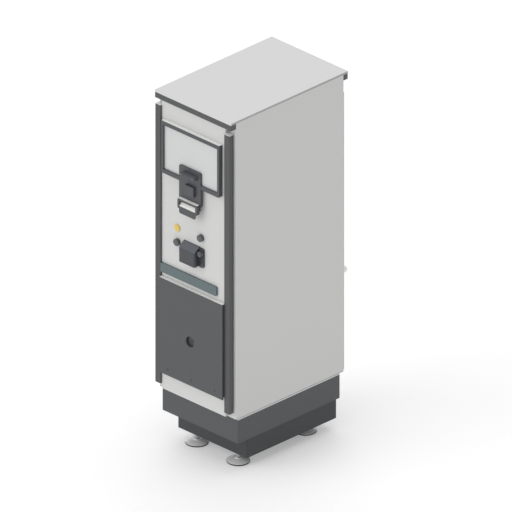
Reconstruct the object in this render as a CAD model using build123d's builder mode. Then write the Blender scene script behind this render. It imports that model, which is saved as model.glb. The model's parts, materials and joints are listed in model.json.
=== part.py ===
"""Parking pay station: a floor-standing steel cabinet with a hinged front door that carries the
display, note reader, buttons and coin cup, a drop-down vault flap and a hinged rear service door.

Frame: +X to the right seen from the front, -Y towards the user, +Z up, millimetres.
Origin: middle of the floor footprint, on the floor.
"""
from build123d import *
import math
import os

os.makedirs("parts", exist_ok=True)

# ---------------------------------------------------------------- driving dimensions
CABINET_W = 480.0          # body width
BODY_D = 679.0             # body depth, front plane to rear plane
BODY_H = 1479.0            # side panel height, base tray to roof plate
SHEET = 2.0                # side panel sheet
DOOR_SHEET = 2.5           # door leaf sheet
FLANGE = 26.0              # folded returns of the side panels
FLAT_GAP = 0.4             # air between faces on different bodies
RUN_FIT = 0.06             # radial clearance of a pin in its knuckle

PAD_R = 52.5               # levelling foot pad
PAD_H = 20.0
STEM_R = 8.0
FOOT_X = 130.0             # half spacing across
FOOT_FRONT, FOOT_REAR = 124.5, 545.5   # behind the body's front plane
SUB_BASE_Z, SUB_BASE_H = 56.0, 107.0
SUB_BASE_IN = 22.5         # sub-base narrower than the body, each side
SUB_BASE_CORNER = 6.0
SUB_BASE_FRONT = 91.4      # toe space behind the front plane
PLINTH_H = 117.0
PLINTH_IN = 1.5
PLINTH_FRONT = 14.6
BASE_REAR = 656.0          # rear of sub-base and plinth
BASE_WALL = 3.0
TRAY_T = 8.0
CABLE_WAY_X, CABLE_WAY_Y = 160.0, 170.0
ANCHOR_X, ANCHOR_Y, ANCHOR_R = 180.0, 200.0, 7.0   # floor anchor pattern and hole

ROOF_T = 10.0
ROOF_FRONT, ROOF_REAR = 31.0, 26.0     # overhangs past the body
TRIM_H = 28.0              # dark bars under the roof overhangs

STILE_W, STILE_PROUD = 34.0, 28.5      # square bars each side of the door
RIGHT_STRIP = 12.5         # body showing right of the lock stile
STILE_FOOT, STILE_HEAD = 32.0, 59.0    # body left showing below and above the stiles
STILE_WALL = 2.5
LEAF_PROUD = 19.5          # door leaf skin
LEAF_FOOT, LEAF_HEAD = 7.0, 28.0
DOOR_GAP = 2.5             # body to door back, filled by the gasket
PIVOT_IN, PIVOT_PROUD = 8.0, 18.0      # door pivot from the left side and front plane
KNUCKLE_R, PIN_R = 6.0, 3.0
KNUCKLE_H = 24.0           # one of three knuckles of a door hinge

FLAP_PROUD = 39.0          # dark vault flap
RAIL_H = 89.0              # light rail under the flap
FLAP_SHEET = 3.0
LOCK_CUP_R = 27.5
LOCK_PLUG_R = 11.0

DISPLAY_W, DISPLAY_H = 339.0, 220.0    # clear view
BEZEL_SIDE, BEZEL_BAR = 13.3, 19.8
BEZEL_PROUD, GLASS_PROUD = 40.5, 31.7
BEZEL_CORNER = 7.0
DISPLAY_DROP = 113.0       # leaf top edge down to the clear view
DISPLAY_OFF = 1.75         # clear view left of the leaf's middle

PLATE_W, PLATE_H, PLATE_PROUD = 135.0, 174.0, 41.0
PLATE_OFF = 3.25           # reader plate left of the leaf's middle
PLATE_DROP = 160.0         # clear view top down to the plate top
HOOD_W, HOOD_PROUD, HOOD_H = 88.0, 66.0, 18.0
BLOCK_W, BLOCK_PROUD, BLOCK_H = 55.0, 54.0, 49.0
MOUTH_W, MOUTH_H, MOUTH_PROUD = 123.0, 49.0, 57.6
MOUTH_OPEN_W, MOUTH_OPEN_H = 100.0, 26.0
LIP_W, LIP_H, LIP_T = 102.0, 30.0, 3.2
MOUTH_CORNER = 8.0

BUTTON_R, SMALL_BUTTON_R = 17.0, 13.4
BUTTON_TRAVEL = 3.0
BUTTON_LOW, BUTTON_HIGH = 6.0, 15.0    # caps standing off the leaf
CUP_W, CUP_H, CUP_PROUD = 100.0, 68.0, 57.0
CUP_WALL = 3.0
CUP_NECK = 9.0             # the cup is this much narrower each side where it passes the leaf
BAR_H, BAR_PROUD = 45.0, 29.5          # light bar under the cup

REAR_PLATE = 6.0           # rear door stands this proud
REAR_PIVOT_OUT = 10.6
KNOB_R, KNOB_L = 15.0, 26.0
KNOB_SHAFT_R = 6.0
FAN_R = 58.0

# ---------------------------------------------------------------- levels and planes
side_x = CABINET_W / 2
sub_base_w = CABINET_W - 2 * SUB_BASE_IN
plinth_w = CABINET_W - 2 * PLINTH_IN
front_reach = max(HOOD_PROUD, MOUTH_PROUD, CUP_PROUD)
rear_reach = BODY_D + REAR_PLATE + KNOB_L
front_y = (front_reach - rear_reach) / 2          # the body's front plane
rear_y = front_y + BODY_D
plinth_z = SUB_BASE_Z + SUB_BASE_H
tray_z = plinth_z + PLINTH_H
body_z = tray_z + TRAY_T
roof_z = body_z + BODY_H
leaf_z0, leaf_z1 = body_z + LEAF_FOOT, roof_z - LEAF_HEAD
stile_z0, stile_z1 = body_z + STILE_FOOT, roof_z - STILE_HEAD
leaf_x0, leaf_x1 = -side_x + STILE_W, side_x - RIGHT_STRIP - STILE_W
door_x = (leaf_x0 + leaf_x1) / 2
display_x = door_x - DISPLAY_OFF
plate_x = door_x - PLATE_OFF
glass_z1 = leaf_z1 - DISPLAY_DROP
glass_z0 = glass_z1 - DISPLAY_H
plate_z1 = glass_z1 - PLATE_DROP
plate_z0 = plate_z1 - PLATE_H
mouth_z1 = plate_z0 + 15.0
mouth_z0 = mouth_z1 - MOUTH_H
button_row = mouth_z0 - 125.0                     # upper pair of buttons
cup_z1 = mouth_z0 - 197.0                         # top of the cup's front face
cup_z0 = cup_z1 - CUP_H
bar_z1 = cup_z0 - 67.0
bar_z0 = bar_z1 - BAR_H
flap_z1 = bar_z0 - 23.0
flap_z0 = leaf_z0 + RAIL_H
leaf_back = front_y - DOOR_GAP                    # back plane of the door
leaf_front = front_y - LEAF_PROUD                 # outer face of the leaf
skin_back = leaf_front + DOOR_SHEET
pivot_x, pivot_y = -side_x + PIVOT_IN, front_y - PIVOT_PROUD

UP, BACK, FORWARD = (0, 0, 1), (0, 1, 0), (0, -1, 0)
RIGHT = (1, 0, 0)


def block(x0, x1, y0, y1, z0, z1, mode=Mode.ADD, corner=0.0):
    """Upright block between two corners; corner rounds its vertical edges."""
    with BuildSketch(Plane.XY.offset(z0)) as outline:
        with Locations(((x0 + x1) / 2, (y0 + y1) / 2)):
            if corner:
                RectangleRounded(x1 - x0, y1 - y0, corner)
            else:
                Rectangle(x1 - x0, y1 - y0)
    extrude(outline.sketch, amount=z1 - z0, mode=mode)


def slab(x0, x1, z0, z1, y_back, thickness, mode=Mode.ADD, corner=0.0):
    """Plate facing the front, from y_back towards the user; corner rounds its outline."""
    with BuildSketch(Plane.XZ.offset(-y_back)) as outline:
        with Locations(((x0 + x1) / 2, (z0 + z1) / 2)):
            if corner:
                RectangleRounded(x1 - x0, z1 - z0, corner)
            else:
                Rectangle(x1 - x0, z1 - z0)
    extrude(outline.sketch, amount=thickness, mode=mode)


def rod(start, direction, radius, length, mode=Mode.ADD):
    """Round bar from a point along a direction."""
    with BuildSketch(Plane(origin=start, z_dir=direction)) as outline:
        Circle(radius)
    extrude(outline.sketch, amount=length, mode=mode)


def domed_screw(x, y, z, direction, head_r, shank_l):
    """Pan-head screw whose head stands on the plane through the point."""
    axis = Plane(origin=(x, y, z), z_dir=direction)
    with BuildSketch(axis) as head:
        Circle(head_r)
    extrude(head.sketch, amount=head_r * 0.45, taper=20)
    rod((x, y, z), tuple(-c for c in direction), head_r * 0.5, shank_l)


# ---------------------------------------------------------------- base
feet_xy = [(x, front_y + d) for x in (-FOOT_X, FOOT_X) for d in (FOOT_FRONT, FOOT_REAR)]
base_mid_y = front_y + (SUB_BASE_FRONT + BASE_REAR) / 2
BOSS_R = 22.0
BOTTOM_PLATE = 6.0
NUT_H, NUT_R = 13.0, 13.8   # lock nut under the sub-base
pad_seat = PAD_H - 4.0     # the stem's ball end sits in the pad

with BuildPart() as levelling_pads:
    for x, y in feet_xy:
        with BuildSketch(Plane.XZ.offset(-y)):
            with BuildLine():
                Polyline((x, 0), (x + PAD_R - 4, 0), (x + PAD_R, 3), (x + PAD_R, 7))
                ThreePointArc((x + PAD_R, 7), (x + PAD_R * 0.66, 13), (x + 16, pad_seat + 1))
                Polyline((x + 16, pad_seat + 1), (x + 14, PAD_H), (x, PAD_H), (x, 0))
            make_face()
        revolve(axis=Axis((x, y, 0), UP))
        rod((x, y, pad_seat - 8), UP, STEM_R, PAD_H, mode=Mode.SUBTRACT)
levelling_pads.part.label = "levelling_pads"
export_step(levelling_pads.part, "parts/levelling_pads.step")

with BuildPart() as levelling_stems:
    for x, y in feet_xy:
        rod((x, y, pad_seat - 8), UP, STEM_R, SUB_BASE_Z + 40 - pad_seat + 8)
        with BuildSketch(Plane.XY.offset(SUB_BASE_Z - NUT_H)):
            with Locations((x, y)):
                RegularPolygon(NUT_R, 6)
        extrude(amount=NUT_H)
levelling_stems.part.label = "levelling_stems"
export_step(levelling_stems.part, "parts/levelling_stems.step")

sub_y0, sub_y1 = front_y + SUB_BASE_FRONT, front_y + BASE_REAR
with BuildPart() as sub_base:
    block(-sub_base_w / 2, sub_base_w / 2, sub_y0, sub_y1, SUB_BASE_Z, plinth_z, corner=SUB_BASE_CORNER)
    block(-sub_base_w / 2 + BASE_WALL, sub_base_w / 2 - BASE_WALL, sub_y0 + BASE_WALL,
          sub_y1 - BASE_WALL, SUB_BASE_Z + BOTTOM_PLATE, plinth_z, Mode.SUBTRACT,
          SUB_BASE_CORNER - BASE_WALL)
    block(-CABLE_WAY_X / 2, CABLE_WAY_X / 2, base_mid_y - CABLE_WAY_Y / 2,
          base_mid_y + CABLE_WAY_Y / 2, SUB_BASE_Z, plinth_z, Mode.SUBTRACT, 10)
    for x, y in feet_xy:
        rod((x, y, SUB_BASE_Z + BOTTOM_PLATE), UP, BOSS_R, 20)
        rod((x, y, SUB_BASE_Z), UP, STEM_R, 40, mode=Mode.SUBTRACT)
    for x in (-ANCHOR_X / 2, ANCHOR_X / 2):
        for y in (base_mid_y - ANCHOR_Y / 2, base_mid_y + ANCHOR_Y / 2):
            rod((x, y, SUB_BASE_Z), UP, ANCHOR_R, BOTTOM_PLATE, mode=Mode.SUBTRACT)
sub_base.part.label = "sub_base"
export_step(sub_base.part, "parts/sub_base.step")

plinth_y0 = front_y + PLINTH_FRONT
with BuildPart() as plinth:
    block(-plinth_w / 2, plinth_w / 2, plinth_y0, sub_y1, plinth_z, tray_z, corner=4)
    block(-plinth_w / 2 + BASE_WALL, plinth_w / 2 - BASE_WALL, plinth_y0 + BASE_WALL,
          sub_y1 - BASE_WALL, plinth_z + BASE_WALL, tray_z, Mode.SUBTRACT, 2)
    block(-CABLE_WAY_X / 2, CABLE_WAY_X / 2, base_mid_y - CABLE_WAY_Y / 2,
          base_mid_y + CABLE_WAY_Y / 2, plinth_z, tray_z, Mode.SUBTRACT, 10)
plinth.part.label = "plinth"
export_step(plinth.part, "parts/plinth.step")

GLAND_R, GLAND_BORE = 25.0, 12.5
gland_y = base_mid_y + 40.0
with BuildPart() as base_tray:
    block(-plinth_w / 2, plinth_w / 2, plinth_y0, sub_y1, tray_z, body_z, corner=4)
    rod((0, gland_y, tray_z), UP, GLAND_R - 5, TRAY_T, mode=Mode.SUBTRACT)
base_tray.part.label = "base_tray"
export_step(base_tray.part, "parts/base_tray.step")

with BuildPart() as cable_gland:
    rod((0, gland_y, tray_z - 16), UP, GLAND_R - 5, 16 + TRAY_T)
    with BuildSketch(Plane.XY.offset(body_z)):
        with Locations((0, gland_y)):
            RegularPolygon(GLAND_R, 6)
    extrude(amount=12)
    rod((0, gland_y, body_z + 12), UP, GLAND_R - 5, 14)
    rod((0, gland_y, tray_z - 16), UP, GLAND_BORE, 70, mode=Mode.SUBTRACT)
cable_gland.part.label = "cable_gland"
export_step(cable_gland.part, "parts/cable_gland.step")

# ---------------------------------------------------------------- body shell
REAR_FLANGE = 14.0
CORNER_R = 4.0
HEADER_H, SILL_H = 80.0, 42.0
REAR_TRANSOM_H = 87.0      # fixed strip above the rear door
flange_x = side_x - FLANGE
rear_flange_x = side_x - REAR_FLANGE
hinge_levels = [stile_z0 + 120, (stile_z0 + stile_z1) / 2, stile_z1 - 120]
ARM_W = 5.0                # hinge arm through the front return
arm_slot = ARM_W / 2 + 0.3


def folded_side(side):
    """Side sheet (side is -1 or 1) with its front and rear returns folded inwards."""
    outer, inner = side * side_x, side * (side_x - SHEET)
    block(min(outer, inner), max(outer, inner), front_y, rear_y, body_z, roof_z)
    front_edge, rear_edge = side * flange_x, side * rear_flange_x
    block(min(outer, front_edge), max(outer, front_edge), front_y, front_y + SHEET, body_z, roof_z)
    block(min(outer, rear_edge), max(outer, rear_edge), rear_y - SHEET, rear_y, body_z, roof_z)


with BuildPart() as side_panel_left:
    folded_side(-1)
    fillet(side_panel_left.edges().filter_by(Axis.Z).group_by(Axis.X)[0], CORNER_R)
    for z in hinge_levels:
        block(pivot_x - arm_slot, pivot_x + arm_slot, front_y, front_y + SHEET,
              z - KNUCKLE_H / 2, z + KNUCKLE_H / 2, Mode.SUBTRACT)
side_panel_left.part.label = "side_panel_left"
export_step(side_panel_left.part, "parts/side_panel_left.step")

with BuildPart() as side_panel_right:
    folded_side(1)
    fillet(side_panel_right.edges().filter_by(Axis.Z).group_by(Axis.X)[-1], CORNER_R)
side_panel_right.part.label = "side_panel_right"
export_step(side_panel_right.part, "parts/side_panel_right.step")


def cross_member(x_half, y_face, y_in, z0, z1, z_lip):
    """Angle across the body: a strip flush with the returns and a lip folded inwards."""
    y0, y1 = min(y_face, y_face + y_in), max(y_face, y_face + y_in)
    block(-x_half, x_half, y0, y1, z0, z1)
    lip_y = y_face + y_in * 12
    block(-x_half, x_half, min(y_face, lip_y), max(y_face, lip_y), z_lip, z_lip + SHEET)


with BuildPart() as cabinet_headers:
    cross_member(flange_x, front_y, SHEET, roof_z - HEADER_H, roof_z, roof_z - SHEET)
    cross_member(rear_flange_x, rear_y, -SHEET, roof_z - REAR_TRANSOM_H - 20, roof_z, roof_z - SHEET)
cabinet_headers.part.label = "cabinet_headers"
export_step(cabinet_headers.part, "parts/cabinet_headers.step")

with BuildPart() as cabinet_sills:
    cross_member(flange_x, front_y, SHEET, body_z, body_z + SILL_H, body_z)
    cross_member(rear_flange_x, rear_y, -SHEET, body_z, body_z + SILL_H, body_z)
cabinet_sills.part.label = "cabinet_sills"
export_step(cabinet_sills.part, "parts/cabinet_sills.step")

with BuildPart() as roof_panel:
    block(-side_x, side_x, front_y - ROOF_FRONT, rear_y + ROOF_REAR, roof_z, roof_z + ROOF_T)
    fillet(roof_panel.faces().sort_by(Axis.Z)[-1].edges().sort_by(Axis.Y)[0], ROOF_T * 0.8)
roof_panel.part.label = "roof_panel"
export_step(roof_panel.part, "parts/roof_panel.step")

TRIM_GAP = 1.0             # air between trim bar and door top
with BuildPart() as front_trim_bar:
    block(-side_x, side_x, front_y - ROOF_FRONT, front_y, roof_z - TRIM_H + TRIM_GAP, roof_z)
    fillet(front_trim_bar.faces().sort_by(Axis.Y)[0].edges().filter_by(Axis.Z), 3)
front_trim_bar.part.label = "front_trim_bar"
export_step(front_trim_bar.part, "parts/front_trim_bar.step")

with BuildPart() as rear_trim_bar:
    block(-side_x, side_x, rear_y, rear_y + ROOF_REAR, roof_z - TRIM_H, roof_z)
    fillet(rear_trim_bar.faces().sort_by(Axis.Y)[-1].edges().filter_by(Axis.Z), 3)
rear_trim_bar.part.label = "rear_trim_bar"
export_step(rear_trim_bar.part, "parts/rear_trim_bar.step")

with BuildPart() as door_hinge_brackets:
    for z in hinge_levels:
        z0, z1 = z - KNUCKLE_H / 2, z + KNUCKLE_H / 2
        block(-side_x + SHEET, -flange_x, front_y + SHEET, front_y + SHEET + 4, z0 - 14, z1 + 14)
        block(pivot_x - ARM_W / 2, pivot_x + ARM_W / 2, pivot_y, front_y + SHEET + 4, z0, z1)
        rod((pivot_x, pivot_y, z0), UP, KNUCKLE_R, KNUCKLE_H)
        rod((pivot_x, pivot_y, z0), UP, PIN_R + RUN_FIT, KNUCKLE_H, mode=Mode.SUBTRACT)
door_hinge_brackets.part.label = "door_hinge_brackets"
export_step(door_hinge_brackets.part, "parts/door_hinge_brackets.step")

# ---------------------------------------------------------------- equipment inside the cabinet
VAULT_D = 305.0
VAULT_WALL = 4.0
vault_x0, vault_x1 = leaf_x0 + 16, leaf_x1 - 30
vault_y0 = front_y + 25
vault_y1 = vault_y0 + VAULT_D
vault_floor = flap_z0 + 16
vault_top = flap_z1 - 28
with BuildPart() as vault_shell:
    block(vault_x0, vault_x1, vault_y0, vault_y1, body_z, vault_top)
    block(vault_x0 + VAULT_WALL, vault_x1 - VAULT_WALL, vault_y0, vault_y1 - VAULT_WALL,
          vault_floor + VAULT_WALL, vault_top - VAULT_WALL, Mode.SUBTRACT)
    block(vault_x0 + VAULT_WALL, vault_x1 - VAULT_WALL, vault_y0 + VAULT_WALL, vault_y1 - VAULT_WALL,
          body_z, vault_floor, Mode.SUBTRACT)
vault_shell.part.label = "vault_shell"
export_step(vault_shell.part, "parts/vault_shell.step")

BOX_W, BOX_D, BOX_H = 150.0, 250.0, 150.0
box_floor = vault_floor + VAULT_WALL
box_x0 = vault_x0 + VAULT_WALL + 8
box_y0 = vault_y0 + 30
GRIP_W, GRIP_T, GRIP_STAND = 90.0, 8.0, 18.0       # carrying handle of the cash box
box_mid = box_x0 + BOX_W / 2
with BuildPart() as cash_box:
    block(box_x0, box_x0 + BOX_W, box_y0, box_y0 + BOX_D, box_floor, box_floor + BOX_H, corner=4)
    slab(box_mid - 20, box_mid + 20, box_floor + BOX_H - 34, box_floor + BOX_H - 24, box_y0, 4)
    grip_z0, grip_z1 = box_floor + 70, box_floor + 82
    for x in (box_mid - GRIP_W / 2, box_mid + GRIP_W / 2 - GRIP_T):
        slab(x, x + GRIP_T, grip_z0, grip_z1, box_y0, GRIP_STAND)
    slab(box_mid - GRIP_W / 2, box_mid + GRIP_W / 2, grip_z0, grip_z1,
         box_y0 - GRIP_STAND + 4, GRIP_T)
cash_box.part.label = "cash_box"
export_step(cash_box.part, "parts/cash_box.step")

HOPPER_W, HOPPER_D, HOPPER_H = 78.0, 130.0, 150.0
with BuildPart() as coin_hoppers:
    for index in range(2):
        x0 = box_x0 + BOX_W + 14 + index * (HOPPER_W + 8)
        block(x0, x0 + HOPPER_W, box_y0 + 40, box_y0 + 40 + HOPPER_D, box_floor, box_floor + HOPPER_H)
        block(x0 + 4, x0 + HOPPER_W - 4, box_y0 + 44, box_y0 + 36 + HOPPER_D, box_floor + 60,
              box_floor + HOPPER_H, Mode.SUBTRACT)
        rod((x0 + HOPPER_W / 2, box_y0 + 40, box_floor + 30), FORWARD, 22, 12)
coin_hoppers.part.label = "coin_hoppers"
export_step(coin_hoppers.part, "parts/coin_hoppers.step")

SHELF_T = 3.0
shelf_y0, shelf_y1 = front_y + 345, rear_y - 40
shelf_z = vault_top + 130
with BuildPart() as equipment_shelf:
    block(-side_x + SHEET, side_x - SHEET, shelf_y0, shelf_y1, shelf_z, shelf_z + SHELF_T)
    for y in (shelf_y0, shelf_y1 - SHELF_T):
        block(-side_x + SHEET, side_x - SHEET, y, y + SHELF_T, shelf_z - 22, shelf_z)
equipment_shelf.part.label = "equipment_shelf"
export_step(equipment_shelf.part, "parts/equipment_shelf.step")

with BuildPart() as control_unit:
    block(-200, 50, shelf_y0 + 20, shelf_y1 - 20, shelf_z + SHELF_T, shelf_z + SHELF_T + 85, corner=3)
    for index in range(8):
        block(-190 + index * 30, -172 + index * 30, shelf_y0 + 40, shelf_y1 - 90,
              shelf_z + SHELF_T + 79, shelf_z + SHELF_T + 91)
control_unit.part.label = "control_unit"
export_step(control_unit.part, "parts/control_unit.step")

with BuildPart() as power_supply:
    block(75, 205, shelf_y0 + 20, shelf_y1 - 60, shelf_z + SHELF_T, shelf_z + SHELF_T + 70, corner=2)
    block(85, 195, shelf_y1 - 60, shelf_y1 - 45, shelf_z + SHELF_T + 20, shelf_z + SHELF_T + 40)
power_supply.part.label = "power_supply"
export_step(power_supply.part, "parts/power_supply.step")

# ---------------------------------------------------------------- front door
HEM = 12.0                 # folded back lip at the leaf's sides
HEM_ENDS = 45.0            # wider lip top and bottom, carries the gasket
flap_open_x0, flap_open_x1 = leaf_x0 + 14, leaf_x1 - 14
flap_open_z0, flap_open_z1 = flap_z0 + 16, flap_z1 - 20
head_w, head_z0, head_z1 = 92.0, mouth_z0 + 3, plate_z0 + 88.0
cup_x = door_x - 8.75
cup_x0, cup_x1 = cup_x - CUP_W / 2, cup_x + CUP_W / 2
CHEEK_W, CHEEK_PROUD = 28.5, 28.5      # coin cup's side plate, carries a button
buttons = {                # x, z, seat plane, height off the seat, radius
    "help_button": (door_x - 101.7, button_row - 2, LEAF_PROUD, BUTTON_LOW, BUTTON_R),
    "cancel_button": (door_x + 49.3, button_row + 2, LEAF_PROUD, BUTTON_HIGH, BUTTON_R),
    "receipt_button": (door_x - 98.7, cup_z1 + 1, LEAF_PROUD, BUTTON_HIGH, BUTTON_R),
    "coin_return_button": (cup_x1 + CHEEK_W / 2, cup_z1, CHEEK_PROUD, BUTTON_HIGH, SMALL_BUTTON_R),
}

SIDE_GAP = 0.6
flap_x0, flap_x1 = leaf_x0 + SIDE_GAP, leaf_x1 - SIDE_GAP
flap_front = front_y - FLAP_PROUD
flap_back = leaf_front - 1.0
flap_pivot_y, flap_pivot_z = front_y - 31.0, flap_z0 + 10.0
FLAP_KNUCKLE_R, FLAP_PIN_R = 4.5, 2.5
FLAP_KNUCKLE_W = 22.0
lock_x, lock_z = door_x - 3.75, (flap_z0 + flap_z1) / 2 - 19
flap_hinge_x = [door_x + offset for offset in (-146, 0, 146)]
flap_depth = flap_back - flap_front
CUP_FLOOR = 12.0                       # lock recess depth behind the flap's outer face
LOCK_BARREL_R, LOCK_BARREL_L = 15.0, 22.0
lock_floor_y = flap_front + CUP_FLOOR
plug_back = lock_floor_y + LOCK_BARREL_L + 2
keeper_y = plug_back - 1.5             # the cam swings up behind this bar

with BuildPart() as door_leaf:
    slab(leaf_x0, leaf_x1, leaf_z0, leaf_z1, leaf_back, LEAF_PROUD - DOOR_GAP)
    slab(leaf_x0 + DOOR_SHEET, leaf_x1 - DOOR_SHEET, leaf_z0 + DOOR_SHEET, leaf_z1 - DOOR_SHEET,
         leaf_back - DOOR_SHEET, LEAF_PROUD - DOOR_GAP - 2 * DOOR_SHEET, Mode.SUBTRACT)
    slab(leaf_x0 + HEM, leaf_x1 - HEM, leaf_z0 + HEM_ENDS, leaf_z1 - HEM_ENDS,
         leaf_back, DOOR_SHEET, Mode.SUBTRACT)
    slab(display_x - DISPLAY_W / 2, display_x + DISPLAY_W / 2, glass_z0, glass_z1,
         skin_back, DOOR_SHEET, Mode.SUBTRACT, 3)
    slab(plate_x - head_w / 2, plate_x + head_w / 2, head_z0, head_z1,
         skin_back, DOOR_SHEET, Mode.SUBTRACT, 3)
    slab(cup_x0 + CUP_NECK, cup_x1 - CUP_NECK, cup_z0 + CUP_WALL, cup_z1 - CUP_WALL,
         skin_back, DOOR_SHEET, Mode.SUBTRACT)
    slab(flap_open_x0, flap_open_x1, flap_open_z0, flap_open_z1, skin_back, DOOR_SHEET, Mode.SUBTRACT, 4)
    for x, z, seat, proud, radius in buttons.values():
        rod((x, skin_back, z), FORWARD, radius + RUN_FIT, DOOR_SHEET, mode=Mode.SUBTRACT)
    slab(flap_open_x0 - 1, flap_open_x1 + 1, lock_z + 26, lock_z + 42, keeper_y, 5)
    for x in (flap_open_x0 - 5, flap_open_x1 + 1):
        slab(x, x + 4, lock_z + 26, lock_z + 42, keeper_y, keeper_y - skin_back)
    for x in flap_hinge_x:
        x0, x1 = x - FLAP_KNUCKLE_W / 2, x + FLAP_KNUCKLE_W / 2
        rod((x0, flap_pivot_y, flap_pivot_z), RIGHT, FLAP_KNUCKLE_R, FLAP_KNUCKLE_W)
        slab(x0, x1, flap_pivot_z - 2, flap_pivot_z + 2, leaf_front, leaf_front - flap_pivot_y)
        rod((x0, flap_pivot_y, flap_pivot_z), RIGHT, FLAP_PIN_R + RUN_FIT, FLAP_KNUCKLE_W,
            mode=Mode.SUBTRACT)
door_leaf.part.label = "door_leaf"
export_step(door_leaf.part, "parts/door_leaf.step")

NOTCH_IN = 8.0             # notch past the pivot for the swinging arm
stile_front = front_y - STILE_PROUD


def square_stile(x0):
    """Hollow square bar with closed ends, proud of the leaf."""
    block(x0, x0 + STILE_W, stile_front, leaf_back, stile_z0, stile_z1, corner=2)
    block(x0 + STILE_WALL, x0 + STILE_W - STILE_WALL, stile_front + STILE_WALL, leaf_back - STILE_WALL,
          stile_z0 + STILE_WALL, stile_z1 - STILE_WALL, Mode.SUBTRACT)


with BuildPart() as hinge_stile:
    square_stile(-side_x)
    for z in hinge_levels:
        block(-side_x, pivot_x + NOTCH_IN, stile_front + STILE_WALL, leaf_back,
              z - KNUCKLE_H / 2 - 1, z + KNUCKLE_H / 2 + 1, Mode.SUBTRACT)
hinge_stile.part.label = "hinge_stile"
export_step(hinge_stile.part, "parts/hinge_stile.step")

with BuildPart() as lock_stile:
    square_stile(leaf_x1)
lock_stile.part.label = "lock_stile"
export_step(lock_stile.part, "parts/lock_stile.step")

with BuildPart() as door_hinge_blocks:
    for z in hinge_levels:
        for z0 in (z - KNUCKLE_H / 2 - 1 - KNUCKLE_H, z + KNUCKLE_H / 2 + 1):
            block(-side_x + STILE_WALL, leaf_x0 - STILE_WALL, stile_front + STILE_WALL,
                  leaf_back - STILE_WALL, z0, z0 + KNUCKLE_H)
        rod((pivot_x, pivot_y, z - 1.5 * KNUCKLE_H), UP, PIN_R, 3 * KNUCKLE_H)
door_hinge_blocks.part.label = "door_hinge_blocks"
export_step(door_hinge_blocks.part, "parts/door_hinge_blocks.step")

SEAL_W = 7.0
seal_x0, seal_x1 = pivot_x + NOTCH_IN + 1, side_x - RIGHT_STRIP - 4
seal_z0, seal_z1 = stile_z0 + 2, stile_z1 - 4
with BuildPart() as door_gasket:
    slab(seal_x0, seal_x1, seal_z0, seal_z1, front_y - FLAT_GAP, DOOR_GAP - FLAT_GAP, corner=10)
    slab(seal_x0 + SEAL_W, seal_x1 - SEAL_W, seal_z0 + SEAL_W, seal_z1 - SEAL_W,
         front_y - FLAT_GAP, DOOR_GAP - FLAT_GAP, Mode.SUBTRACT, 4)
door_gasket.part.label = "door_gasket"
export_step(door_gasket.part, "parts/door_gasket.step")

# display: raised bezel, glass set back in it, screen module behind
bezel_x0, bezel_x1 = display_x - DISPLAY_W / 2 - BEZEL_SIDE, display_x + DISPLAY_W / 2 + BEZEL_SIDE
bezel_z0, bezel_z1 = glass_z0 - BEZEL_BAR, glass_z1 + BEZEL_BAR
glass_front = front_y - GLASS_PROUD
plate_back = glass_front - FLAT_GAP
with BuildPart() as display_bezel:
    slab(bezel_x0, bezel_x1, bezel_z0, bezel_z1, leaf_front, BEZEL_PROUD - LEAF_PROUD,
         corner=BEZEL_CORNER)
    slab(display_x - DISPLAY_W / 2, display_x + DISPLAY_W / 2, glass_z0, glass_z1,
         leaf_front, BEZEL_PROUD - LEAF_PROUD, Mode.SUBTRACT)
    slab(plate_x - PLATE_W / 2 - FLAT_GAP, plate_x + PLATE_W / 2 + FLAT_GAP, plate_z0, plate_z1,
         plate_back + FLAT_GAP, BEZEL_PROUD - GLASS_PROUD + 1, Mode.SUBTRACT)
display_bezel.part.label = "display_bezel"
export_step(display_bezel.part, "parts/display_bezel.step")

GLASS_T = 3.0
with BuildPart() as display_glass:
    slab(display_x - DISPLAY_W / 2, display_x + DISPLAY_W / 2, glass_z0, glass_z1,
         glass_front + GLASS_T, GLASS_T)
display_glass.part.label = "display_glass"
export_step(display_glass.part, "parts/display_glass.step")

with BuildPart() as display_module:
    slab(display_x - DISPLAY_W / 2 + 1, display_x + DISPLAY_W / 2 - 1, glass_z0 + 1, glass_z1 - 1,
         skin_back + 25, GLASS_PROUD - GLASS_T - LEAF_PROUD + DOOR_SHEET + 25, corner=2)
    slab(display_x - 110, display_x + 110, glass_z1 - 110, glass_z1 - 15, skin_back + 45, 20)
display_module.part.label = "display_module"
export_step(display_module.part, "parts/display_module.step")

# note reader: face plate, card hood, contactless block, mouth with its light insert
mouth_back = front_y - PLATE_PROUD
note_z1 = mouth_z1 - 11.0                          # top of the mouth's clear opening
note_z0 = note_z1 - MOUTH_OPEN_H
SLOT_W, SLOT_H = 78.0, 6.0
slot_z0 = note_z0 + 16.0
with BuildPart() as reader_plate:
    slab(plate_x - PLATE_W / 2, plate_x + PLATE_W / 2, plate_z0, plate_z1,
         plate_back, PLATE_PROUD - GLASS_PROUD - FLAT_GAP, corner=7)
    slab(plate_x - PLATE_W / 2 + 8, plate_x + PLATE_W / 2 - 8, plate_z0 + 3, bezel_z0 - FLAT_GAP,
         leaf_front, leaf_front - plate_back)
    slab(plate_x - SLOT_W / 2 - 6, plate_x + SLOT_W / 2 + 6, note_z0 - 4, plate_z0 + 3,
         leaf_front, PLATE_PROUD - LEAF_PROUD)
    slab(plate_x - SLOT_W / 2, plate_x + SLOT_W / 2, slot_z0, slot_z0 + SLOT_H,
         leaf_front, PLATE_PROUD - LEAF_PROUD, Mode.SUBTRACT)
reader_plate.part.label = "reader_plate"
export_step(reader_plate.part, "parts/reader_plate.step")

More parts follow.
